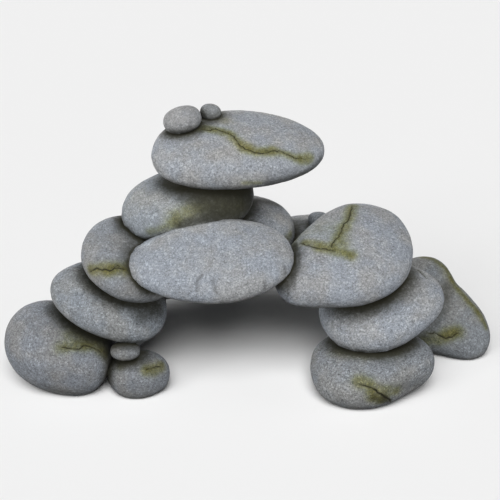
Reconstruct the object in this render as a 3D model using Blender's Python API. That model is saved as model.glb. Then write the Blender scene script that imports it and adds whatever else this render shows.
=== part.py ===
"""Pebble stack: flat beach pebbles bedded on one another as a low arch, for a tank or a garden.

Metres, +Z up. The finished face looks towards -Y, +X is to the right of someone facing it, and the
origin lies on the ground under the middle of the stack's bounding box.
"""

import math
from dataclasses import dataclass

import bmesh
import bpy
from mathutils import Euler, Vector, noise

MM = 0.001
DEGREE = math.pi / 180

JOINT_GAP = 0.3 * MM  # left between two stones where one is bedded on the other
GROUND_DEPTH = 60 * MM  # how far the block that cuts the feet flat reaches below the ground
GROUND_WIDTH = 400 * MM
LUMP_SIZE = 24 * MM  # spacing of the broad, shallow lumps that the water left
LUMP_SEED_STEP = 7.3

PLAIN_OUTLINE = (1.0,) * 8


@dataclass
class Pebble:
    """One water-worn stone. It is shaped lying flat, then turned in plan, rolled and leaned.

    outline says how far the plan reaches, as a share of an ellipse, at even steps from the right
    end round by the back. top and belly are its two heights from the middle plane.
    """

    name: str
    centre: tuple
    length: float
    width: float
    top: float
    belly: float
    lean: float = 0.0  # the face turns towards the viewer
    roll: float = 0.0  # the right end goes down
    turn: float = 0.0  # in plan, the right end goes back
    outline: tuple = PLAIN_OUTLINE
    fullness: float = 2.35  # 2 is an ellipse in section, and more is squarer
    lump: float = 0.5
    faces_across: int = 6
    is_foot: bool = False
    grey: tuple = (0.29, 0.30, 0.31)


# From the top of the stack down. Each stone keeps its whole shape against those after it, which
# are hollowed where it beds into them. Lengths are in millimetres and angles in degrees.
PEBBLES = [
    Pebble(
        "cap_pebble_small", (-20, 27, 135.7), 10.8, 9.4, 4.1, 4.1, roll=8,
        lump=0.15, faces_across=4, grey=(0.35, 0.35, 0.35),
    ),
    Pebble(
        "cap_pebble_large", (-34, 18.5, 134.5), 19.8, 16.4, 6.5, 6.3, roll=-15,
        lump=0.25, faces_across=4, grey=(0.36, 0.36, 0.37),
    ),
    Pebble(
        "cap_stone", (-6, 17, 119), 88.5, 53, 12, 12.2, lean=20, roll=1.5,
        outline=(1.01, 1, 1, 0.97, 0.98, 1.12, 0.95, 0.92),
        faces_across=7, grey=(0.33, 0.34, 0.35),
    ),
    Pebble(
        "front_bridge_stone", (-20.5, -16, 72), 86, 51, 10.5, 10, lean=28, roll=-5,
        outline=(1, 1.03, 0.95, 0.89, 0.98, 0.91, 0.97, 1.02),
        faces_across=7, grey=(0.33, 0.35, 0.37),
    ),
    Pebble(
        "neck_stone", (-32, 14, 90), 69, 48, 16.5, 14, lean=8, roll=-8,
        outline=(1, 1.14, 1.03, 0.97, 0.98, 1.09, 0.94, 0.98), grey=(0.3, 0.32, 0.34),
    ),
    Pebble(
        "rear_bridge_stone", (-4, 24, 70.5), 56, 48, 15.2, 14, lean=10,
        outline=(1, 1, 1, 1.06, 1, 1, 1, 1), grey=(0.27, 0.28, 0.29),
    ),
    Pebble(
        "right_shoulder_stone", (49, -4, 69), 69, 62, 13, 13, lean=27,
        outline=(
            1, 1.055, 1.14, 1.12, 1.02, 0.86, 0.78, 0.79,
            0.92, 1.17, 1.26, 1.05, 0.97, 0.94, 0.95, 0.97,
        ),
        faces_across=7, grey=(0.3, 0.31, 0.32),
    ),
    Pebble(
        "rear_pebble", (36.5, 31, 74), 11.5, 10, 4, 4,
        lump=0.2, faces_across=3, grey=(0.25, 0.26, 0.27),
    ),
    Pebble(
        "rear_right_stone", (30, 36, 57.5), 68, 44, 13, 13, roll=-4, turn=8,
        outline=(1, 1, 0.96, 1.05, 1, 1, 1, 1), faces_across=5, grey=(0.26, 0.27, 0.28),
    ),
    Pebble(
        "left_shoulder_stone", (-61, -2, 67), 56, 50, 12, 12, lean=25, roll=22,
        outline=(1, 1, 1.04, 0.94, 0.91, 0.98, 1.02, 1), grey=(0.2, 0.2, 0.2),
    ),
    Pebble(
        "right_step_stone", (68, -8, 43.5), 66, 58, 12, 12, lean=25, roll=-12,
        outline=(1, 0.9, 1, 1, 1, 1.02, 0.96, 0.87), grey=(0.26, 0.265, 0.28),
    ),
    Pebble(
        "left_step_stone", (-72.5, -5, 45), 62, 52, 12, 12, lean=22, roll=22,
        outline=(1, 1, 1, 0.88, 1.02, 0.93, 0.89, 1.05), grey=(0.19, 0.19, 0.2),
    ),
    Pebble(
        "left_rear_shoulder_stone", (-50, 27, 48), 62, 48, 14, 14, roll=-4, turn=-10,
        outline=(1, 0.94, 1, 1.05, 1, 0.96, 1, 1), faces_across=5, grey=(0.22, 0.23, 0.23),
    ),
    Pebble(
        "right_rear_step_stone", (56, 38, 38), 54, 42, 10.5, 10, roll=5, turn=12,
        outline=(1, 1.04, 1, 1, 0.95, 1, 1, 1), faces_across=5, grey=(0.25, 0.26, 0.26),
    ),
    Pebble(
        "left_wedge_pebble", (-63.5, -24, 25), 15.6, 13.4, 4.2, 3.9,
        lump=0.2, faces_across=4, grey=(0.22, 0.22, 0.22),
    ),
    Pebble(
        "left_toe_stone", (-56.5, -22, 10.5), 31, 27, 11, 12, lean=10,
        outline=(1, 0.96, 0.98, 1.06, 1.1, 1.04, 0.91, 0.85),
        lump=0.35, faces_across=5, is_foot=True, grey=(0.2, 0.2, 0.2),
    ),
    Pebble(
        "right_foot_stone", (63, -22, 14.5), 64, 54, 14.5, 16, lean=8, roll=-4,
        outline=(1.02, 1.03, 0.99, 1.07, 0.99, 1.04, 0.9, 0.775),
        is_foot=True, grey=(0.25, 0.25, 0.25),
    ),
    Pebble(
        "left_foot_stone", (-99, -12, 21), 57, 54, 18, 21, lean=20, roll=15,
        outline=(1, 1, 0.945, 1.03, 0.99, 0.89, 0.88, 1.08),
        is_foot=True, grey=(0.25, 0.255, 0.265),
    ),
    Pebble(
        "right_rear_foot_stone", (102.5, 32, 24), 56, 60, 12, 20, lean=45,
        outline=(0.7, 0.51, 0.85, 1, 1, 1, 0.94, 1.33),
        is_foot=True, grey=(0.2, 0.2, 0.18),
    ),
    Pebble(
        "left_rear_foot_stone", (-76, 29, 19), 54, 46, 18, 21, turn=14,
        outline=(0.94, 1, 1, 1.05, 1, 1, 1, 0.98),
        faces_across=5, is_foot=True, grey=(0.22, 0.22, 0.22),
    ),
    Pebble(
        "inner_rear_foot_stone", (65, 38, 15), 44, 40, 15, 17, turn=-12,
        outline=(1, 1, 1, 1.04, 0.96, 1, 1, 1), faces_across=5, is_foot=True,
        grey=(0.24, 0.24, 0.24),
    ),
]


def outline_reach(outline, angle):
    """The outline's reach at an angle, by a smooth closed curve through its given reaches."""
    count = len(outline)
    place = angle / math.tau * count
    first = math.floor(place)
    t = place - first
    before, here, after, beyond = (outline[(first + k) % count] for k in (-1, 0, 1, 2))
    slope_here = (after - before) / 2
    slope_after = (beyond - here) / 2
    change = after - here
    return (
        here
        + slope_here * t
        + (3 * change - 2 * slope_here - slope_after) * t**2
        + (slope_here + slope_after - 2 * change) * t**3
    )


def share_of_section(value, fullness):
    """A sine or cosine bent so that the section is a squarer oval."""
    return math.copysign(abs(value) ** (2 / fullness), value)


def pebble_point(pebble, direction, seed, grow):
    """Where the pebble's skin is, in the direction of a point of the unit sphere."""
    angle = math.atan2(direction.y, direction.x)
    across = share_of_section(math.hypot(direction.x, direction.y), pebble.fullness)
    across *= outline_reach(pebble.outline, angle)
    up = share_of_section(direction.z, pebble.fullness)
    half_length = pebble.length * MM / 2
    half_width = pebble.width * MM / 2
    height = (pebble.top if up > 0 else pebble.belly) * MM
    point = Vector(
        (
            half_length * across * math.cos(angle),
            half_width * across * math.sin(angle),
            height * up,
        )
    )
    outward = Vector((point.x / half_length**2, point.y / half_width**2, point.z / height**2))
    lump = noise.noise(point / LUMP_SIZE + Vector((seed, 0, 0)))
    return point + outward.normalized() * (pebble.lump * MM * lump + grow)


def pebble_mesh(name, pebble, seed, grow=0.0):
    """A cube of even squares blown out to the pebble's shape."""
    mesh = bmesh.new()
    bmesh.ops.create_cube(mesh, size=2)
    bmesh.ops.subdivide_edges(
        mesh, edges=mesh.edges[:], cuts=pebble.faces_across - 1, use_grid_fill=True
    )
    for vertex in mesh.verts:
        even = Vector([math.tan(value * math.pi / 4) for value in vertex.co])
        vertex.co = pebble_point(pebble, even.normalized(), seed, grow)
    bmesh.ops.recalc_face_normals(mesh, faces=mesh.faces[:])
    data = bpy.data.meshes.new(name)
    mesh.to_mesh(data)
    mesh.free()
    data.shade_smooth()
    return data


def place(obj, pebble, stack):
    obj.parent = stack
    obj.location = Vector(pebble.centre) * MM
    obj.rotation_mode = "ZYX"
    obj.rotation_euler = Euler(
        (pebble.lean * DEGREE, pebble.roll * DEGREE, pebble.turn * DEGREE), "ZYX"
    )


def make_helper(obj):
    """A cutter, which isn't part of the stack."""
    obj.hide_render = True
    obj.display_type = "WIRE"


def stone_material(pebble):
    material = bpy.data.materials.new(pebble.name)
    material.use_nodes = True
    shader = material.node_tree.nodes["Principled BSDF"]
    shader.inputs["Base Color"].default_value = (*pebble.grey, 1)
    shader.inputs["Roughness"].default_value = 0.85
    shader.inputs["Metallic"].default_value = 0
    return material


def add_pebble(pebble, seed, stack):
    """The stone, and the slightly larger copy of it that hollows the stones it beds into."""
    stone = bpy.data.objects.new(pebble.name, pebble_mesh(pebble.name, pebble, seed))
    stone.data.materials.append(stone_material(pebble))
    bed_name = pebble.name + "_bed"
    bed = bpy.data.objects.new(bed_name, pebble_mesh(bed_name, pebble, seed, grow=JOINT_GAP))
    make_helper(bed)
    for obj in (stone, bed):
        bpy.context.scene.collection.objects.link(obj)
        place(obj, pebble, stack)
    return stone, bed


def add_ground(stack):
    """The block whose top is the ground, which cuts each foot flat."""
    mesh = bmesh.new()
    bmesh.ops.create_cube(mesh, size=1)
    bmesh.ops.scale(mesh, vec=(GROUND_WIDTH, GROUND_WIDTH, GROUND_DEPTH), verts=mesh.verts)
    bmesh.ops.translate(mesh, vec=(0, 0, -GROUND_DEPTH / 2), verts=mesh.verts)
    data = bpy.data.meshes.new("ground")
    mesh.to_mesh(data)
    mesh.free()
    ground = bpy.data.objects.new("ground", data)
    ground.parent = stack
    bpy.context.scene.collection.objects.link(ground)
    make_helper(ground)
    return ground


def cut(stone, cutter):
    boolean = stone.modifiers.new(cutter.name, "BOOLEAN")
    boolean.operation = "DIFFERENCE"
    boolean.solver = "EXACT"
    boolean.object = cutter


def world_box(obj):
    corners = [obj.matrix_world @ Vector(corner) for corner in obj.bound_box]
    return [(min(c[k] for c in corners), max(c[k] for c in corners)) for k in range(3)]


def boxes_meet(first, second):
    return all(a[0] < b[1] and b[0] < a[1] for a, b in zip(world_box(first), world_box(second)))


def middle_in_plan(stones):
    """The middle of the finished stack's bounding box, on the ground."""
    graph = bpy.context.evaluated_depsgraph_get()
    points = []
    for stone in stones:
        finished = stone.evaluated_get(graph)
        points += [finished.matrix_world @ vertex.co for vertex in finished.data.vertices]
    middle = [(min(p[k] for p in points) + max(p[k] for p in points)) / 2 for k in (0, 1)]
    return Vector((*middle, 0))


def main():
    for obj in list(bpy.data.objects):
        bpy.data.objects.remove(obj)
    stack = bpy.data.objects.new("stack", None)
    bpy.context.scene.collection.objects.link(stack)
    ground = add_ground(stack)
    laid = []
    for number, pebble in enumerate(PEBBLES):
        stone, bed = add_pebble(pebble, number * LUMP_SEED_STEP, stack)
        bpy.context.view_layer.update()
        for _, upper_bed in laid:
            if boxes_meet(stone, upper_bed):
                cut(stone, upper_bed)
        if pebble.is_foot:
            cut(stone, ground)
        laid.append((stone, bed))
    bpy.context.view_layer.update()
    stack.location = -middle_in_plan([stone for stone, _ in laid])


main()
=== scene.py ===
"""Pebble stack: the weathered skin of each stone, its cracks, moss and grime, and the studio view."""

import math
from dataclasses import dataclass, field

import bmesh
import bpy
import numpy as np
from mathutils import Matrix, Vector, noise
from mathutils.bvhtree import BVHTree

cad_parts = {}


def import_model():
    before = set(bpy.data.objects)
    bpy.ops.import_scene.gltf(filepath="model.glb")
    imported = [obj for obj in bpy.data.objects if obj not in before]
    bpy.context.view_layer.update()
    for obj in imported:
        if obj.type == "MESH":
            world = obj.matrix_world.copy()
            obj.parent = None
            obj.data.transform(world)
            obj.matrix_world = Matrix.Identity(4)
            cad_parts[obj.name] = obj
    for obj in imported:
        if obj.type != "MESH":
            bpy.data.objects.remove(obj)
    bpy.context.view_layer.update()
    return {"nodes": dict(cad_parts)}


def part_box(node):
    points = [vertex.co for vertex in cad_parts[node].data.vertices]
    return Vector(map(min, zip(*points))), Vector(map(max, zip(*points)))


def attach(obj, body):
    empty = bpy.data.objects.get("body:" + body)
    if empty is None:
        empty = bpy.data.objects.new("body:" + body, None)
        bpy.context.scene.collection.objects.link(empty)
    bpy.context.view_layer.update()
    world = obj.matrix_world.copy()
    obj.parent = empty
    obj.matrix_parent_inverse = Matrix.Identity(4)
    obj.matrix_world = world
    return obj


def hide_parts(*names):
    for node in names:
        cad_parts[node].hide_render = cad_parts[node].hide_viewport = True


MM = 0.001
NOT_ZERO = 1e-12  # keeps a division from going wrong

# The camera of the photograph. Pixels are counted from its top left corner.
PHOTO_WIDTH = 500
LENS = 100
SENSOR = 36
VIEW_TARGET = Vector((-1.7, -6.0, 70.6)) * MM
VIEW_ELEVATION = math.radians(25)
VIEW_DISTANCE = 711.5 * MM
CLIP_START = 0.01

# The skin, in millimetres.
LUMPS = {  # size and height
    "broad_lumps": (9.0, 0.5),
    "small_lumps": (2.6, 0.16),
    "tooth": (0.9, 0.07),
}
MERGE_DISTANCE = 0.01
SMOOTHING = {"factor": 0.5, "iterations": 8}
JOINT_REACH = (1.5, 4.0)  # the gaps between which the closing of a joint fades out
JOINT_FILL = 0.2  # how far the skin stands proud in a joint
FULLNESS = 2.3  # how far a full place stands proud of its solid

# Cracks and dents, in millimetres.
CRACK_STEP = 1.5  # length of a crack's straight bits
CRACK_JITTER = 0.8  # how far they wander
CRACK_WAVE = 1.6  # the length over which they do
CRACK_FINE = (2.2, 1.2)  # the faces this near to a crack are cut smaller, and then smaller again
CRACK_END = 0.12  # the share of its length in which a crack opens
END_WIDTH = 0.25  # the share of its width that it has at its ends
GROOVE_WIDTH = 0.55
CLEAN_DISTANCE = 50.0  # what the crack attribute says where there's no crack
DENT_WIDTH = 0.9
DENT_DEPTH = 0.45
DENT_SHADE = 0.5  # how much of its painted shade colour a dent takes
NOISE_SEED = 1  # makes the cracks wander in the same way each time
SEED_STEP = 3.7  # keeps the cracks of two stones from wandering alike

# Grime, dirt and painted shade, and painted light. Lengths are in millimetres.
UNDERSIDE = 0.4  # the painted shade and dirt under each stone
UNDERSIDE_FACING = (0.35, 0.9)  # how far down the skin faces where that begins, and where it's full
GAP_REACH = 12.0  # the furthest neighbour that counts for the grime and painted shade
SHELTER_REACH = 32.0  # the furthest stone that shelters another
SHELTER_RAYS = 22
SHELTER_FACING = 0.15  # rays that graze the skin more than this don't count
LOWEST_RAY = 0.05  # rays that rise less than this find no shelter
RAY_LIFT = 0.6  # how far above the skin the rays start
GOLDEN_ANGLE = math.pi * (3 - math.sqrt(5))
DIRT_LAYERS = 2.6  # the layers of dirt and painted shadow where a streak of them is full
KEPT_PER_LAYER = 0.3679  # the share of the colour below that each layer lets through
PAINTED_LIGHT_GAIN = 0.55  # how much paler the painted light makes a place

# Tints that multiply the stone's colour.
BLUER = (0.965, 0.995, 1.04, 1)
WARMER = (1.035, 1.0, 0.95, 1)
UNSTAINED = (1, 1, 1, 1)
STAINED = (0.85, 0.86, 0.64, 1)
DARK_MOSS = (0.42, 0.385, 0.12, 1)
PALE_MOSS = (0.66, 0.62, 0.26, 1)

# Colours that cover the stone's own.
# the dark colour of grime and of painted shade
GRIME_AND_SHADE = (0.023, 0.022, 0.012, 1)
CRACK_SOIL = (0.07, 0.066, 0.022, 1)
CRACK_DARK = (0.018, 0.016, 0.008, 1)
# the painted shade in a dent
DENT_PAINTED_SHADE = (0.06, 0.06, 0.06, 1)

# The finish.
MID_NOISE = (0.3, 0.7)  # most of a noise's values lie between these
FLECK_SIZE = 0.8  # in millimetres, as the size of every noise is
FLECK_HEIGHT = 0.35  # how high a fleck stands beside the tooth
STONE_SPECULAR = 0.3
BUMP = {"Strength": 0.8, "Distance": 0.14 * MM}

# The studio.
FLOOR_SIZE = 30  # in metres
PALE = 0.86  # the floor and backdrop
FLOOR_BOUNCE = 0.25  # how much of its light the floor gives back to the stones

# Soft suns: azimuth from the viewer's side, elevation, strength and softness, with the angles in
# degrees. The floor's light comes from the front and above. The stones' comes from all round.
FLOOR_SUNS = {
    "floor_key": (0, 51, 0.83, 36),
    "floor_left": (-40, 36, 0.32, 34),
    "floor_low": (0, 41, 0.24, 26),
    "floor_right": (80, 12, 0.12, 36),
}
STONE_SUNS = {
    "stone_key": (40, 55, 0.43, 36),
    "stone_top": (0, 70, 0.17, 36),
    "stone_left": (-80, 12, 0.54, 36),
    "stone_front_left": (-40, 12, 0.14, 36),
    "stone_front": (0, 12, 0.31, 36),
    "stone_front_right": (40, 12, 0.2, 36),
    "stone_back": (180, 15, 0.45, 36),
    "stone_back_left": (-140, 6, 0.35, 40),
}


@dataclass
class Crack:
    """A hairline crack along the photograph's pixels. Width and depth are in millimetres."""

    route: list
    width: float = 0.24
    depth: float = 0.5


@dataclass
class Streak:
    """A soft patch along the photograph's pixels. Its reach to each side is in pixels too."""

    route: list
    reach: float
    strength: float


@dataclass
class Stone:
    """How a stone looks."""

    grey: tuple
    skin: float = 1.25  # mesh size in millimetres
    speckle: float = 1.0  # strength of the grain
    grime_and_shade_amount: float = 1.0  # how readily grime and painted shade gather under the stones above
    cracks: list = field(default_factory=list)
    moss: list = field(default_factory=list)
    # streaks of dirt, in part painted shadow under and beside the stones above
    dirt_and_shade: list = field(default_factory=list)
    dents: list = field(default_factory=list)  # short soft grooves with painted shade in them, each a list of pixels
    painted_light: list = field(default_factory=list)  # where painted light makes it paler
    full: list = field(default_factory=list)  # where it stands a little proud of the solid


# Each stone's dirt streaks are in part painted shadow, cast by the stones above it.
STONES = {
    "cap_pebble_small": Stone((0.249, 0.259, 0.263), skin=0.4, speckle=0.8),
    "cap_pebble_large": Stone(
        (0.272, 0.283, 0.299),
        skin=0.5,
        speckle=0.8,
        # painted shade along its bottom, with dirt
        dirt_and_shade=[Streak([(172, 132), (190, 129)], 4, 0.25)],
    ),
    "cap_stone": Stone(
        (0.286, 0.297, 0.311),
        cracks=[
            Crack(
                [
                    (197, 129.5), (210, 130), (216, 128), (224, 131.5), (234, 136), (238, 143.5),
                    (245, 148), (255, 152.5), (264, 153), (272, 151), (280, 150.5), (288, 154),
                    (298, 159), (309, 159),
                ]
            ),
        ],
        moss=[
            Streak([(196, 128), (214, 130), (228, 133), (236, 140), (244, 147)], 5.5, 0.8),
            Streak([(244, 147), (256, 152), (272, 151)], 5.5, 0.9),
            Streak([(272, 151), (288, 155), (298, 159)], 4, 0.75),
            Streak([(302, 159), (309, 158)], 5.5, 0.95),
            Streak([(206, 117), (224, 120)], 8, 0.25),
            Streak([(172, 134), (188, 134)], 5, 0.2),
            Streak([(244, 183), (260, 183)], 3.5, 0.4),
        ],
        # painted shade under the cap's right end, with dirt
        dirt_and_shade=[Streak([(268, 183), (290, 178), (309, 171), (320, 160)], 4.5, 0.4)],
    ),
    "neck_stone": Stone(
        (0.257, 0.273, 0.286),
        grime_and_shade_amount=2.0,
        moss=[
            Streak([(150, 232), (165, 228), (174, 222)], 5, 0.4),
            Streak([(175, 219)], 9, 0.55),
            Streak([(186, 213)], 9, 0.5),
            Streak([(198, 208), (240, 204)], 10, 0.4),
        ],
        # painted shadow of the cap stone over the neck's right part, with dirt
        dirt_and_shade=[
            Streak([(184, 197), (204, 199)], 7, 0.35),
            Streak([(200, 204), (225, 206)], 9, 0.5),
            Streak([(222, 209), (248, 202)], 14, 1.0),
            Streak([(206, 215), (226, 213), (245, 207)], 7, 0.6),
            Streak([(180, 225), (196, 220), (214, 217), (236, 212)], 5, 0.5),
        ],
    ),
    "front_bridge_stone": Stone(
        (0.273, 0.289, 0.311),
        grime_and_shade_amount=0.1,
        dents=[
            [(202, 275), (197, 281), (197, 291)],
            [(213, 280), (216, 293)],
            [(264, 283), (265, 290)],
            [(285, 267), (286, 274)],
        ],
        # painted light along its top edge, which the neck would leave in shade
        painted_light=[
            Streak(
                [
                    (142, 246), (152, 240), (170, 233), (190, 228.5), (210, 225), (232, 222),
                    (250, 223),
                ],
                5, 0.5,
            ),
        ],
        full=[Streak([(178, 235), (192, 232), (206, 229.5), (222, 227)], 16, 1.0)],
    ),
    "rear_bridge_stone": Stone(
        (0.314, 0.325, 0.337),
        grime_and_shade_amount=1.4,
        moss=[Streak([(291, 234), (291, 250)], 4.5, 0.45)],
        # painted shadow of the cap stone on its left part, with dirt
        dirt_and_shade=[Streak([(249, 203), (260, 200), (276, 204)], 6.5, 0.45)],
    ),
    "left_shoulder_stone": Stone(
        (0.223, 0.232, 0.242),
        grime_and_shade_amount=1.7,
        cracks=[
            Crack(
                [(89, 273), (96, 268.5), (105, 269.5), (110, 270), (118, 268), (127, 269.5)],
                width=0.3,
            ),
            Crack([(112, 269.5), (118, 265), (121, 267.5)], width=0.2),
        ],
        moss=[
            Streak([(91, 270), (108, 269)], 5.5, 0.85),
            Streak([(108, 269), (126, 269)], 6.5, 1.0),
        ],
    ),
    "left_rear_shoulder_stone": Stone((0.209, 0.220, 0.227), skin=1.5),
    "right_shoulder_stone": Stone(
        (0.272, 0.286, 0.306),
        grime_and_shade_amount=1.6,
        cracks=[
            Crack(
                [
                    (352, 205), (351, 213), (349, 219), (344.5, 224), (340.5, 232), (337, 238),
                    (333, 243), (331.5, 250),
                ],
                width=0.3,
            ),
            Crack([(299, 243), (310, 246), (320, 248.5), (331.5, 250), (337, 252)], width=0.28),
        ],
        moss=[
            Streak([(352, 206), (349, 219), (342, 232), (336, 243)], 6.5, 0.72),
            Streak([(342, 243)], 9, 0.4),
            Streak([(320, 247), (334, 250), (351, 255)], 6, 0.95),
            Streak([(304, 242), (320, 246)], 5, 0.6),
            Streak([(300, 234), (332, 228)], 13, 0.2),
            Streak([(294, 238), (293, 250)], 5, 0.4),
        ],
    ),
    "rear_right_stone": Stone(
        (0.273, 0.285, 0.297),
        skin=1.5,
        dirt_and_shade=[Streak([(298, 222), (296, 236)], 9, 0.2)],
    ),
    "rear_pebble": Stone((0.224, 0.236, 0.246), skin=0.5),
    "left_step_stone": Stone(
        (0.221, 0.236, 0.251),
        speckle=1.15,
        dirt_and_shade=[Streak([(140, 318), (160, 309)], 7, 0.35)],
    ),
    "right_step_stone": Stone(
        (0.274, 0.289, 0.309),
        speckle=1.1,
        grime_and_shade_amount=1.8,
        cracks=[Crack([(417, 269), (422, 273), (428, 279)], width=0.25)],
    ),
    "right_rear_step_stone": Stone((0.223, 0.236, 0.243), skin=1.5),
    "left_wedge_pebble": Stone((0.170, 0.174, 0.175), skin=0.5),
    "left_toe_stone": Stone(
        (0.184, 0.192, 0.202),
        skin=0.8,
        speckle=1.1,
        grime_and_shade_amount=1.3,
        cracks=[Crack([(145, 370), (151, 368), (157, 366), (162, 367)])],
        moss=[
            Streak([(147, 370), (153, 370)], 6, 1.0),
            Streak([(161, 366)], 6, 0.85),
            Streak([(120, 366)], 6, 0.35),
        ],
    ),
    "left_foot_stone": Stone(
        (0.197, 0.206, 0.219),
        speckle=1.15,
        cracks=[
            Crack(
                [
                    (59, 347), (65, 347.5), (73, 348), (79, 348.5), (85, 345.5), (93, 347),
                    (99, 350.5), (103, 354),
                ]
            ),
        ],
        moss=[
            Streak([(60, 348), (75, 346), (84, 345)], 6, 0.7),
            Streak([(84, 344), (94, 345), (104, 352)], 7, 0.85),
            Streak([(70, 335), (98, 338)], 9, 0.45),
        ],
        # painted shade in the crease under the step stone and along its lower edge, with dirt
        dirt_and_shade=[
            Streak([(76, 329), (104, 338)], 6, 0.25),
            Streak([(45, 385), (76, 394)], 4, 0.2),
        ],
    ),
    "left_rear_foot_stone": Stone((0.201, 0.209, 0.217), skin=1.5),
    "right_foot_stone": Stone(
        (0.204, 0.213, 0.221),
        speckle=1.35,
        grime_and_shade_amount=1.6,
        cracks=[
            Crack([(358, 384), (367, 386), (374, 389.5), (379, 393)], width=0.3),
            Crack([(372, 388.5), (379, 393), (384, 396), (391, 402)], width=0.6, depth=0.8),
        ],
        moss=[
            Streak([(359, 381), (368, 384)], 7, 0.8),
            Streak([(374, 396), (382, 399)], 7, 1.0),
            Streak([(384, 390), (397, 391)], 6, 0.55),
            Streak([(373, 390)], 6, 0.6),
            Streak([(335, 352), (365, 356), (395, 352)], 7, 0.3),
        ],
        dirt_and_shade=[
            Streak([(384, 397), (389, 401)], 3, 0.6),
            Streak([(374, 398), (384, 402)], 4, 0.3),
            Streak([(400, 388), (420, 382)], 8, 0.12),
        ],
    ),
    "right_rear_foot_stone": Stone(
        (0.192, 0.201, 0.207),
        grime_and_shade_amount=2.0,
        cracks=[
            Crack(
                [
                    (426, 333.5), (434, 333.5), (440, 336), (446, 338), (452, 336.5), (458, 333.5),
                    (456, 332),
                ],
                width=0.34,
            ),
        ],
        moss=[
            Streak(
                [
                    (422, 257), (435, 260), (446, 269), (452.5, 281), (459.5, 291), (469, 302),
                    (478.5, 313), (486, 327),
                ],
                3.5, 0.8,
            ),
            Streak([(440, 264), (458, 290)], 7, 0.3),
            Streak([(466, 300), (480, 316)], 5, 0.3),
            Streak([(446, 335), (457, 332)], 7, 1.0),
            Streak([(425, 341), (438, 340)], 7, 0.6),
        ],
        dirt_and_shade=[Streak([(446, 288), (440, 312), (426, 332), (414, 342)], 8, 0.35)],
    ),
    "inner_rear_foot_stone": Stone((0.212, 0.220, 0.229), skin=1.5),
}


# Placing by the photograph's pixels

def look_direction():
    return Vector((0, math.cos(VIEW_ELEVATION), -math.sin(VIEW_ELEVATION)))


def camera_place():
    return VIEW_TARGET - look_direction() * VIEW_DISTANCE


def pixel_ray(pixel):
    """The direction in which the camera sees a pixel of the photograph."""
    ahead = look_direction()
    right = Vector((1, 0, 0))
    up = right.cross(ahead)
    middle = PHOTO_WIDTH / 2
    per_pixel = SENSOR / LENS / PHOTO_WIDTH
    across = (pixel[0] - middle) * per_pixel
    down = (pixel[1] - middle) * per_pixel
    return (ahead + right * across - up * down).normalized()


def point_under_pixel(tree, pixel):
    """Where the stone's skin is under a pixel. Just off its edge, the nearest skin is taken."""
    start = camera_place()
    direction = pixel_ray(pixel)
    hit = tree.ray_cast(start, direction)[0]
    if hit is None:
        past = start + direction * (VIEW_TARGET - start).length
        hit = tree.find_nearest(past)[0]
    return hit


def route_on_skin(tree, pixels):
    return np.array([point_under_pixel(tree, pixel) for pixel in pixels])


# Meshes

def deselect_all():
    bpy.ops.object.select_all(action="DESELECT")


def make_active(obj):
    deselect_all()
    obj.select_set(True)
    bpy.context.view_layer.objects.active = obj


def apply_modifier(obj, kind, **settings):
    make_active(obj)
    bpy.ops.object.modifier_add(type=kind)
    modifier = obj.modifiers[-1]
    for name, value in settings.items():
        setattr(modifier, name, value)
    bpy.ops.object.modifier_apply(modifier=modifier.name)


def vertex_places(obj):
    places = np.empty(len(obj.data.vertices) * 3)
    obj.data.vertices.foreach_get("co", places)
    return places.reshape(-1, 3)


def vertex_normals(obj):
    normals = np.empty(len(obj.data.vertices) * 3)
    obj.data.vertex_normals.foreach_get("vector", normals)
    return normals.reshape(-1, 3)


def set_places(obj, places):
    obj.data.vertices.foreach_set("co", places.ravel())
    obj.data.update()


def add_attribute(obj, name, values):
    attribute = obj.data.attributes.new(name, "FLOAT", "POINT")
    attribute.data.foreach_set("value", np.asarray(values, dtype=np.float32))


def read_attribute(obj, name):
    values = np.empty(len(obj.data.vertices))
    obj.data.attributes[name].data.foreach_get("value", values)
    return values


def tree_of(*objects):
    """A search tree over the faces of the objects."""
    corners = []
    faces = []
    for obj in objects:
        first = len(corners)
        corners += [vertex.co for vertex in obj.data.vertices]
        faces += [[first + corner for corner in face.vertices] for face in obj.data.polygons]
    return BVHTree.FromPolygons(corners, faces)


def hull_tree(obj):
    hull = bmesh.new()
    for vertex in obj.data.vertices:
        hull.verts.new(vertex.co)
    bmesh.ops.convex_hull(hull, input=hull.verts)
    tree = BVHTree.FromBMesh(hull)
    hull.free()
    return tree


# The stones' skins

def rounded_skin(node_name, node, size):
    """An even, smooth skin over the faceted solid."""
    mesh = node.data.copy()
    mesh.materials.clear()
    mesh.name = node_name + "_skin"
    obj = bpy.data.objects.new(mesh.name, mesh)
    bpy.context.scene.collection.objects.link(obj)
    make_active(obj)
    bpy.ops.object.mode_set(mode="EDIT")
    bpy.ops.mesh.select_all(action="SELECT")
    bpy.ops.mesh.remove_doubles(threshold=MERGE_DISTANCE * MM)
    bpy.ops.object.mode_set(mode="OBJECT")
    apply_modifier(obj, "SUBSURF", levels=2, render_levels=2)
    apply_modifier(obj, "REMESH", mode="VOXEL", voxel_size=size * MM)
    apply_modifier(obj, "SMOOTH", **SMOOTHING)
    swell(obj, node)
    return obj


def swell(obj, node):
    """Brings the skin, which the smoothing has shrunk, back out to the solid's corners."""
    tree = tree_of(obj)
    shrunk = []
    for vertex in node.data.vertices:
        place, normal, _, _ = tree.find_nearest(vertex.co)
        shrunk.append((vertex.co - place).dot(normal))
    places = vertex_places(obj) + vertex_normals(obj) * np.median(shrunk)
    set_places(obj, places)


def lump_texture(name, size):
    texture = bpy.data.textures.new(name, "CLOUDS")
    texture.noise_scale = size * MM
    return texture


def weather(obj, textures):
    """The lumps and the tooth of the stone, standing on the skin."""
    apply_modifier(obj, "SUBSURF", levels=1, render_levels=1)
    for texture, height in textures:
        apply_modifier(
            obj, "DISPLACE", texture=texture, strength=height * MM, mid_level=0.5,
            texture_coords="LOCAL", direction="NORMAL",
        )


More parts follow.
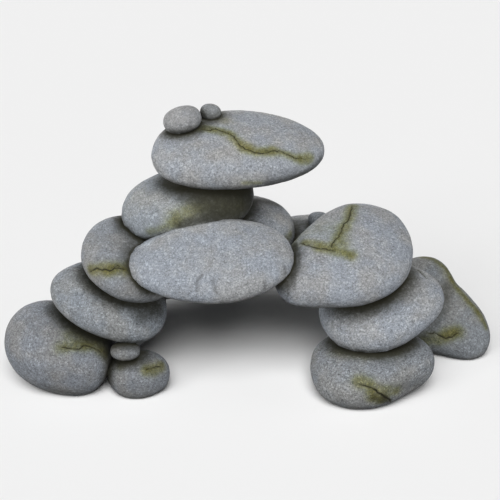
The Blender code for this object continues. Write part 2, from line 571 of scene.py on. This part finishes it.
def close_joints(obj, node):
    """Where a stone beds against another, the smoothing has left a wide groove. The skin is
    brought back out to the solid's hull there, so that the stones meet in a thin line."""
    hull = hull_tree(node)
    share = 1 - soft_step(read_attribute(obj, "gap"), *JOINT_REACH)
    places = vertex_places(obj)
    for index in np.flatnonzero(share > 0):
        place = Vector(places[index])
        out, normal, _, _ = hull.find_nearest(place)
        if (place - out).dot(normal) < 0:
            places[index] = place.lerp(out + normal * JOINT_FILL * MM, share[index])
    set_places(obj, places)


def fill_out(obj, stone):
    """Lets the skin stand proud where the stone is fuller than its solid."""
    if not stone.full:
        return
    places = vertex_places(obj)
    normals = vertex_normals(obj)
    share = spread(stone.full, tree_of(obj), places, normals)
    set_places(obj, places + normals * share[:, None] * FULLNESS * MM)


def rest_on_ground(obj):
    """The lumps of a sole don't reach under the ground."""
    places = vertex_places(obj)
    places[:, 2] = np.maximum(places[:, 2], 0)
    set_places(obj, places)


# Cracks, moss and dirt on the skins

def soft_step(values, low, high):
    share = np.clip((values - low) / (high - low), 0, 1)
    return share * share * (3 - 2 * share)


def bell(away, width):
    return np.exp(-((away / width) ** 2))


def jagged_route(tree, pixels, seed):
    """The crack's points on the skin, in short straight bits that wander a little."""
    corners = [point_under_pixel(tree, pixel) for pixel in pixels]
    points = []
    for start, end in zip(corners, corners[1:]):
        bits = max(1, round((end - start).length / (CRACK_STEP * MM)))
        for bit in range(bits):
            points.append(start.lerp(end, bit / bits))
    points.append(corners[-1])
    wander = []
    for number, point in enumerate(points):
        shake = noise.noise_vector(point / (CRACK_WAVE * MM) + Vector((seed, 0, 0)))
        ease = min(1, number / 2, (len(points) - 1 - number) / 2)
        wander.append(tree.find_nearest(point + shake * CRACK_JITTER * MM * ease)[0])
    return np.array(wander)


def distances_to_route(places, normals, route):
    """Each vertex's signed distance to the route, and how far along it is, from 0 to 1."""
    nearest = np.full(len(places), np.inf)
    side = np.ones(len(places))
    along = np.zeros(len(places))
    lengths = np.linalg.norm(np.diff(route, axis=0), axis=1)
    walked = np.concatenate(([0], np.cumsum(lengths)))
    for number, (start, end) in enumerate(zip(route, route[1:])):
        step = end - start
        share = np.clip((places - start) @ step / max(step @ step, NOT_ZERO), 0, 1)
        away = places - (start + share[:, None] * step)
        distance = np.linalg.norm(away, axis=1)
        closer = distance < nearest
        nearest[closer] = distance[closer]
        along[closer] = (walked[number] + share[closer] * lengths[number]) / walked[-1]
        turn = np.einsum("ij,ij->i", away, np.cross(normals, step))
        side[closer] = np.where(turn[closer] < 0, -1, 1)
    return nearest * side, along


def refine_near(obj, routes, reach):
    """Cuts the faces near the routes in four, so that the grooves are cleanly drawn."""
    places = vertex_places(obj)
    near = np.zeros(len(places), bool)
    for route in routes:
        for start, end in zip(route, route[1:]):
            near |= np.linalg.norm(places - (start + end) / 2, axis=1) < reach * MM
    mesh = bmesh.new()
    mesh.from_mesh(obj.data)
    mesh.verts.ensure_lookup_table()
    edges = [
        edge for edge in mesh.edges if near[edge.verts[0].index] and near[edge.verts[1].index]
    ]
    bmesh.ops.subdivide_edges(mesh, edges=edges, cuts=1, use_grid_fill=True)
    mesh.to_mesh(obj.data)
    mesh.free()


def spread(streaks, tree, places, normals):
    """How strong the streaks are at each place. Those that overlap add up softly."""
    bare = np.ones(len(places))
    for streak in streaks:
        route = route_on_skin(tree, streak.route)
        if len(route) == 1:
            away = np.linalg.norm(places - route[0], axis=1)
        else:
            away = np.abs(distances_to_route(places, normals, route)[0])
        reach = streak.reach / PHOTO_WIDTH * VIEW_DISTANCE * SENSOR / LENS
        bare *= 1 - streak.strength * bell(away, reach)
    return 1 - bare


def crack_marks(stone, routes, places, normals):
    """The signed distance to the nearest crack, how wide that is open, and the groove's depth."""
    crack = np.full(len(places), CLEAN_DISTANCE)
    opening = np.zeros(len(places))
    depth = np.zeros(len(places))
    for detail, route in zip(stone.cracks, routes):
        signed, along = distances_to_route(places, normals, route)
        signed = signed / MM
        away = np.abs(signed)
        taper = soft_step(along, 0, CRACK_END) * soft_step(1 - along, 0, CRACK_END)
        depth = np.maximum(depth, detail.depth * taper * bell(away, GROOVE_WIDTH))
        closer = away < np.abs(crack)
        crack[closer] = signed[closer]
        opening[closer] = (detail.width * (END_WIDTH + (1 - END_WIDTH) * taper))[closer]
    return crack, opening, depth


def dent_marks(routes, places, normals):
    """How far in a dent each place is, from 0 outside to 1 along its middle."""
    dent = np.zeros(len(places))
    for route in routes:
        away = np.abs(distances_to_route(places, normals, route)[0]) / MM
        dent = np.maximum(dent, bell(away, DENT_WIDTH))
    return dent


def mark_stone(obj, stone, seed):
    """Cuts the cracks and dents into the skin, and says where they, the moss, the dirt with its
    painted shade and the painted light are.
    """
    tree = tree_of(obj)
    crack_routes = [
        jagged_route(tree, crack.route, seed + number) for number, crack in enumerate(stone.cracks)
    ]
    dent_routes = [route_on_skin(tree, pixels) for pixels in stone.dents]
    if crack_routes:
        for reach in CRACK_FINE:
            refine_near(obj, crack_routes, reach)
    places = vertex_places(obj)
    normals = vertex_normals(obj)
    crack, opening, depth = crack_marks(stone, crack_routes, places, normals)
    dent = dent_marks(dent_routes, places, normals)
    depth += dent * DENT_DEPTH
    set_places(obj, places - normals * depth[:, None] * MM)
    # painted shade on the skin that faces down, with dirt
    under = UNDERSIDE * soft_step(-normals[:, 2], *UNDERSIDE_FACING)
    dirt_and_shade = 1 - (1 - under) * (1 - spread(stone.dirt_and_shade, tree, places, normals))
    add_attribute(obj, "crack", crack)
    add_attribute(obj, "opening", opening)
    add_attribute(obj, "moss", spread(stone.moss, tree, places, normals))
    add_attribute(obj, "dirt_and_shade", dirt_and_shade)
    add_attribute(obj, "dent", dent)
    add_attribute(obj, "painted_light", spread(stone.painted_light, tree, places, normals))


def add_gap(obj, others):
    """How far each place is from the nearest other stone, in millimetres."""
    reach = GAP_REACH * MM
    places = vertex_places(obj)
    away = np.full(len(places), reach)
    for tree, low, high in others:
        near = ((places > low - reach) & (places < high + reach)).all(axis=1)
        for index in np.flatnonzero(near):
            found = tree.find_nearest(places[index], away[index])
            if found[0] is not None:
                away[index] = found[3]
    add_attribute(obj, "gap", away / MM)


def spread_directions(count):
    """Directions spread evenly over a sphere."""
    directions = []
    for number in range(count):
        rise = 1 - (2 * number + 1) / count
        turn = number * GOLDEN_ANGLE
        flat = math.sqrt(1 - rise * rise)
        directions.append(Vector((flat * math.cos(turn), flat * math.sin(turn), rise)))
    return directions


def add_shelter(obj, stack):
    """How far each place is covered from above by the stones, from 0 in the open to 1."""
    reach = SHELTER_REACH * MM
    places = vertex_places(obj)
    normals = vertex_normals(obj)
    hit = np.zeros(len(places))
    total = np.full(len(places), NOT_ZERO)
    for direction in spread_directions(SHELTER_RAYS):
        facing = normals @ np.array(direction)
        weight = np.where(facing > SHELTER_FACING, facing, 0)
        total += weight
        if direction.z < LOWEST_RAY:
            continue
        for index in np.flatnonzero(weight):
            start = places[index] + normals[index] * RAY_LIFT * MM
            distance = stack.ray_cast(start, direction, reach)[3]
            if distance is not None:
                hit[index] += weight[index] * (1 - distance / reach)
    add_attribute(obj, "shelter", hit / total)


# Materials

class Nodes:
    """A node tree that is written one node at a time."""

    def __init__(self, tree):
        self.tree = tree

    def add(self, kind, inputs=None, **settings):
        node = self.tree.nodes.new(kind)
        for name, value in settings.items():
            setattr(node, name, value)
        for name, value in (inputs or {}).items():
            self.feed(node.inputs[name], value)
        return node

    def feed(self, socket, value):
        if isinstance(value, bpy.types.NodeSocket):
            self.tree.links.new(value, socket)
        else:
            socket.default_value = value

    def maths(self, operation, *values):
        node = self.add("ShaderNodeMath", operation=operation)
        for socket, value in zip(node.inputs, values):
            self.feed(socket, value)
        return node.outputs[0]

    def chain(self, operation, values):
        result = values[0]
        for value in values[1:]:
            result = self.maths(operation, result, value)
        return result

    def total(self, *values):
        return self.chain("ADD", values)

    def product(self, *values):
        return self.chain("MULTIPLY", values)

    def ramp(self, value, span, to=(0.0, 1.0), smooth=True):
        """The value, with the ends of its span brought to the two ends in to."""
        node = self.add(
            "ShaderNodeMapRange",
            {
                "Value": value, "From Min": span[0], "From Max": span[1],
                "To Min": to[0], "To Max": to[1],
            },
            interpolation_type="SMOOTHSTEP" if smooth else "LINEAR",
        )
        return node.outputs["Result"]

    def noise(self, place, size, detail, rough, distortion=0.0):
        """Noise whose lumps are about size millimetres across."""
        node = self.add(
            "ShaderNodeTexNoise",
            {
                "Vector": place, "Scale": 1 / (size * MM), "Detail": detail,
                "Roughness": rough, "Distortion": distortion,
            },
        )
        return node.outputs["Fac"]

    def mix(self, share, first, second, blend="MIX"):
        node = self.add("ShaderNodeMix", data_type="RGBA", blend_type=blend)
        for name, value in (("Factor_Float", share), ("A_Color", first), ("B_Color", second)):
            socket = next(s for s in node.inputs if s.identifier == name)
            self.feed(socket, value)
        return next(s for s in node.outputs if s.identifier == "Result_Color")

    def scaled(self, colour, amount):
        node = self.add("ShaderNodeVectorMath", operation="SCALE")
        self.feed(node.inputs[0], colour)
        self.feed(node.inputs["Scale"], amount)
        return node.outputs[0]

    def attribute(self, name):
        return self.add("ShaderNodeAttribute", attribute_name=name).outputs["Fac"]

    def grouped(self, group, inputs):
        return self.add("ShaderNodeGroup", inputs, node_tree=group).outputs


def new_group(name, inputs, outputs):
    """A shader group with named sockets. Returns its nodes, what it is given and what it puts out."""
    group = bpy.data.node_groups.new(name, "ShaderNodeTree")
    for sockets, side in ((inputs, "INPUT"), (outputs, "OUTPUT")):
        for socket, kind in sockets.items():
            group.interface.new_socket(socket, in_out=side, socket_type="NodeSocket" + kind)
    nodes = Nodes(group)
    return nodes, nodes.add("NodeGroupInput").outputs, nodes.add("NodeGroupOutput").inputs


def make_grain_group():
    """Fine grey grain with light flecks and fibres, in faint patches of warmer and bluer stone."""
    nodes, given, out = new_group(
        "stone_grain",
        {"Place": "Vector", "Stone Color": "Color", "Speckle": "Float"},
        {"Color": "Color", "Roughness": "Float", "Height": "Float"},
    )
    place = given["Place"]
    patches = nodes.ramp(nodes.noise(place, size=16, detail=3, rough=0.5), (0.36, 0.66))
    clouds = nodes.noise(place, size=4.5, detail=4, rough=0.65)
    tooth = nodes.noise(place, size=0.8, detail=3, rough=0.75)
    wriggle = nodes.noise(place, size=1.3, detail=2, rough=0.6, distortion=1.4)
    folds = nodes.noise(place, size=1.9, detail=3, rough=0.7, distortion=1.2)
    crease = nodes.maths("ABSOLUTE", nodes.maths("SUBTRACT", folds, 0.5))
    cells = nodes.add("ShaderNodeTexVoronoi", {"Vector": place, "Scale": 1 / (FLECK_SIZE * MM)})
    fleck = nodes.add("ShaderNodeSeparateColor", {"Color": cells.outputs["Color"]}).outputs["Red"]
    specks = nodes.total(
        nodes.ramp(fleck, (0.75, 1.0), (0, 0.42)),
        nodes.ramp(fleck, (0.22, 0.0), (0, -0.2)),
        nodes.ramp(tooth, MID_NOISE, (-0.24, 0.24)),
    )
    fibres = nodes.total(
        nodes.ramp(crease, (0.08, 0.0), (-0.08, 0.24)),
        nodes.ramp(wriggle, (0.35, 0.65), (-0.1, 0.1)),
    )
    grain = nodes.maths("MULTIPLY_ADD", nodes.total(specks, fibres), given["Speckle"], 1.0)
    shade = nodes.product(nodes.ramp(clouds, MID_NOISE, (0.92, 1.08)), grain)
    tinted = nodes.mix(1.0, given["Stone Color"], nodes.mix(patches, BLUER, WARMER), "MULTIPLY")
    nodes.feed(out["Color"], nodes.scaled(tinted, shade))
    nodes.feed(out["Roughness"], nodes.ramp(tooth, MID_NOISE, (0.74, 0.9)))
    height = nodes.maths("MULTIPLY_ADD", fleck, FLECK_HEIGHT, tooth)
    nodes.feed(out["Height"], nodes.total(height, wriggle))
    return nodes.tree


def make_grime_and_shade_group():
    """Dark olive dirt and painted shade, where stones shelter or touch others, under them and in its
    own streaks.
    """
    nodes, given, out = new_group(
        "grime_and_painted_shade",
        {
            "Place": "Vector", "Color": "Color", "Gap": "Float", "Shelter": "Float",
            "Dirt And Shade": "Float", "Amount": "Float",
        },
        {"Color": "Color"},
    )
    gap = given["Gap"]
    amount = given["Amount"]
    clumps = nodes.noise(given["Place"], size=2.5, detail=4, rough=0.65)
    # painted shade under the stones above, deeper the nearer they are, with grime
    nearness = nodes.ramp(gap, (11, 1.5), (0.5, 3.9))
    shelter = nodes.product(given["Shelter"], nearness, amount)
    # a dark joint where it touches another stone, and painted shade in the crease beside it
    beside = nodes.total(
        nodes.ramp(gap, (7, 0.3), (0, 0.6)),
        nodes.ramp(gap, (1.8, 0.3), (0, 0.9)),
    )
    contact_grime_and_shade = nodes.product(beside, nodes.maths("MINIMUM", amount, 1.0))
    settled_grime_and_shade = nodes.total(shelter, contact_grime_and_shade)
    # the streaks of dirt and painted shadow, over the painted shade
    layers = nodes.maths("MULTIPLY_ADD", given["Dirt And Shade"], DIRT_LAYERS, settled_grime_and_shade)
    layers = nodes.product(layers, nodes.ramp(clumps, MID_NOISE, (0.8, 1.2)))
    unsoiled_and_unshaded = nodes.maths("POWER", KEPT_PER_LAYER, layers)
    nodes.feed(out["Color"], nodes.mix(unsoiled_and_unshaded, GRIME_AND_SHADE, given["Color"]))
    return nodes.tree


def make_moss_group():
    """Thin olive moss, densest along its middle, with a faint stain round it."""
    nodes, given, out = new_group(
        "moss_stain",
        {"Place": "Vector", "Color": "Color", "Moss": "Float", "Roughness": "Float"},
        {"Color": "Color", "Roughness": "Float", "Thickness": "Float"},
    )
    torn = nodes.noise(given["Place"], size=3.2, detail=3, rough=0.6)
    fine = nodes.noise(given["Place"], size=0.9, detail=3, rough=0.75)
    there = nodes.product(
        given["Moss"],
        nodes.ramp(torn, MID_NOISE, (0.72, 1.18)),
        nodes.ramp(fine, MID_NOISE, (0.82, 1.18)),
    )
    thick = nodes.ramp(there, (0.02, 1.1))
    stain = nodes.mix(nodes.ramp(there, (0, 0.45), smooth=False), UNSTAINED, STAINED)
    moss = nodes.mix(nodes.ramp(fine, MID_NOISE), DARK_MOSS, PALE_MOSS)
    growth = nodes.mix(thick, stain, moss)
    nodes.feed(out["Color"], nodes.mix(1.0, given["Color"], growth, "MULTIPLY"))
    nodes.feed(out["Roughness"], nodes.maths("MAXIMUM", given["Roughness"], thick))
    nodes.feed(out["Thickness"], nodes.product(thick, fine))
    return nodes.tree


def make_crack_group():
    """The dark line of a crack, wider and narrower along its way, with soiled stone beside it."""
    nodes, given, out = new_group(
        "hairline_crack",
        {"Place": "Vector", "Color": "Color", "Crack": "Float", "Opening": "Float"},
        {"Color": "Color"},
    )
    opening = given["Opening"]
    rough_edge = nodes.noise(given["Place"], size=0.7, detail=2, rough=0.6)
    ragged = nodes.maths("SUBTRACT", rough_edge, 0.5)
    away = nodes.maths("MULTIPLY_ADD", ragged, 0.5, nodes.maths("ABSOLUTE", given["Crack"]))
    swelling = nodes.noise(given["Place"], size=4, detail=3, rough=0.7)
    width = nodes.product(opening, nodes.ramp(swelling, (0.35, 0.6), (0.5, 1.4)))
    edge = nodes.maths("DIVIDE", away, nodes.maths("MAXIMUM", width, 0.01))
    here = nodes.ramp(opening, (0.02, 0.2))
    soiled = nodes.product(nodes.ramp(away, (1.7, 0.2), (0, 0.35)), here)
    dark = nodes.product(nodes.ramp(edge, (1.3, 0.3), (0, 0.88)), here)
    colour = nodes.mix(soiled, given["Color"], CRACK_SOIL)
    nodes.feed(out["Color"], nodes.mix(dark, colour, CRACK_DARK))
    return nodes.tree


def stone_material(name, stone, groups):
    """The stone's grain, paler where light is painted, with its moss, grime and painted shade, dents
    with painted shade and cracks over it in this order.
    """
    material = bpy.data.materials.new(name + "_finish")
    material.use_nodes = True
    nodes = Nodes(material.node_tree)
    shader = material.node_tree.nodes["Principled BSDF"]
    shader.inputs["Specular IOR Level"].default_value = STONE_SPECULAR
    place = nodes.add("ShaderNodeTexCoord").outputs["Object"]
    grain = nodes.grouped(
        groups["grain"],
        {"Place": place, "Stone Color": (*stone.grey, 1), "Speckle": stone.speckle},
    )
    # painted light, which makes the top edge of the front bridge paler
    paler = nodes.maths("MULTIPLY_ADD", nodes.attribute("painted_light"), PAINTED_LIGHT_GAIN, 1.0)
    moss = nodes.grouped(
        groups["moss"],
        {
            "Place": place, "Color": nodes.scaled(grain["Color"], paler),
            "Moss": nodes.attribute("moss"), "Roughness": grain["Roughness"],
        },
    )
    grime_and_shade = nodes.grouped(
        groups["grime_and_shade"],
        {
            "Place": place, "Color": moss["Color"], "Gap": nodes.attribute("gap"),
            "Shelter": nodes.attribute("shelter"), "Dirt And Shade": nodes.attribute("dirt_and_shade"),
            "Amount": stone.grime_and_shade_amount,
        },
    )
    # painted shade in the dents
    dent_shade = nodes.product(nodes.attribute("dent"), DENT_SHADE)
    crack = nodes.grouped(
        groups["crack"],
        {
            "Place": place, "Color": nodes.mix(dent_shade, grime_and_shade["Color"], DENT_PAINTED_SHADE),
            "Crack": nodes.attribute("crack"), "Opening": nodes.attribute("opening"),
        },
    )
    height = nodes.total(grain["Height"], moss["Thickness"])
    bump = nodes.add("ShaderNodeBump", {**BUMP, "Height": height})
    nodes.feed(shader.inputs["Base Color"], crack["Color"])
    nodes.feed(shader.inputs["Roughness"], moss["Roughness"])
    nodes.feed(shader.inputs["Normal"], bump.outputs["Normal"])
    return material


# The studio

def add_camera():
    data = bpy.data.cameras.new("camera")
    data.lens = LENS
    data.sensor_width = SENSOR
    data.clip_start = CLIP_START
    camera = bpy.data.objects.new("camera", data)
    bpy.context.scene.collection.objects.link(camera)
    camera.location = camera_place()
    camera.rotation_euler = (math.pi / 2 - VIEW_ELEVATION, 0, 0)
    bpy.context.scene.camera = camera


def add_floor():
    """A pale floor that gives back less light than it shows."""
    deselect_all()
    bpy.ops.mesh.primitive_plane_add(size=FLOOR_SIZE, location=(0, 0, 0))
    floor = bpy.context.object
    floor.name = "floor"
    material = bpy.data.materials.new("floor")
    material.use_nodes = True
    shader = material.node_tree.nodes["Principled BSDF"]
    shader.inputs["Roughness"].default_value = 1
    shader.inputs["Specular IOR Level"].default_value = 0
    nodes = Nodes(material.node_tree)
    seen = nodes.add("ShaderNodeLightPath").outputs["Is Camera Ray"]
    pale = nodes.mix(seen, (FLOOR_BOUNCE, FLOOR_BOUNCE, FLOOR_BOUNCE, 1), (PALE, PALE, PALE, 1))
    nodes.feed(shader.inputs["Base Color"], pale)
    floor.data.materials.append(material)
    return floor


def add_backdrop():
    """A pale backdrop that is only seen, and gives no light."""
    world = bpy.data.worlds.new("studio")
    bpy.context.scene.world = world
    world.use_nodes = True
    nodes = Nodes(world.node_tree)
    seen = nodes.add("ShaderNodeLightPath").outputs["Is Camera Ray"]
    background = world.node_tree.nodes["Background"]
    background.inputs["Color"].default_value = (1, 1, 1, 1)
    nodes.feed(background.inputs["Strength"], nodes.product(seen, PALE))


def add_sun(name, azimuth, elevation, strength, softness, lit):
    """A soft sun that lights only the objects of one collection."""
    data = bpy.data.lights.new(name, "SUN")
    data.energy = strength * math.pi
    data.angle = math.radians(softness)
    sun = bpy.data.objects.new(name, data)
    bpy.context.scene.collection.objects.link(sun)
    sun.rotation_euler = (math.radians(90 - elevation), 0, math.radians(azimuth))
    sun.light_linking.receiver_collection = lit


def lit_together(name, objects):
    collection = bpy.data.collections.new(name)
    for obj in objects:
        collection.objects.link(obj)
    return collection


def add_lights(floor, stones):
    """The floor and the stones each have their own suns, which leave the other dark."""
    for_floor = lit_together("lit_with_the_floor", [floor])
    for_stones = lit_together("lit_with_the_stones", stones)
    for suns, lit in ((FLOOR_SUNS, for_floor), (STONE_SUNS, for_stones)):
        for name, (azimuth, elevation, strength, softness) in suns.items():
            add_sun(name, azimuth, elevation, strength, softness, lit)


# The stack

def dress_stones(nodes):
    """Puts a skin in the place of each solid, and returns the skins."""
    textures = [(lump_texture(name, size), height) for name, (size, height) in LUMPS.items()]
    groups = {
        "grain": make_grain_group(),
        "grime_and_shade": make_grime_and_shade_group(),
        "moss": make_moss_group(),
        "crack": make_crack_group(),
    }
    solids = {}
    for name in STONES:
        low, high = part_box(name)
        solids[name] = (tree_of(nodes[name]), np.array(low), np.array(high))
    stack = tree_of(*[nodes[name] for name in STONES])
    skins = []
    for number, (name, stone) in enumerate(STONES.items()):
        obj = rounded_skin(name, nodes[name], stone.skin)
        add_gap(obj, [solid for other, solid in solids.items() if other != name])
        add_shelter(obj, stack)
        weather(obj, textures)
        close_joints(obj, nodes[name])
        fill_out(obj, stone)
        mark_stone(obj, stone, number * SEED_STEP)
        rest_on_ground(obj)
        obj.data.shade_smooth()
        obj.data.materials.append(stone_material(name, stone, groups))
        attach(obj, "root")
        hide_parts(name)
        skins.append(obj)
    return skins


def main():
    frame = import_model()
    bpy.context.scene.view_settings.view_transform = "Standard"
    noise.seed_set(NOISE_SEED)

    add_camera()
    floor = add_floor()
    add_backdrop()
    skins = dress_stones(frame["nodes"])
    add_lights(floor, skins)


main()
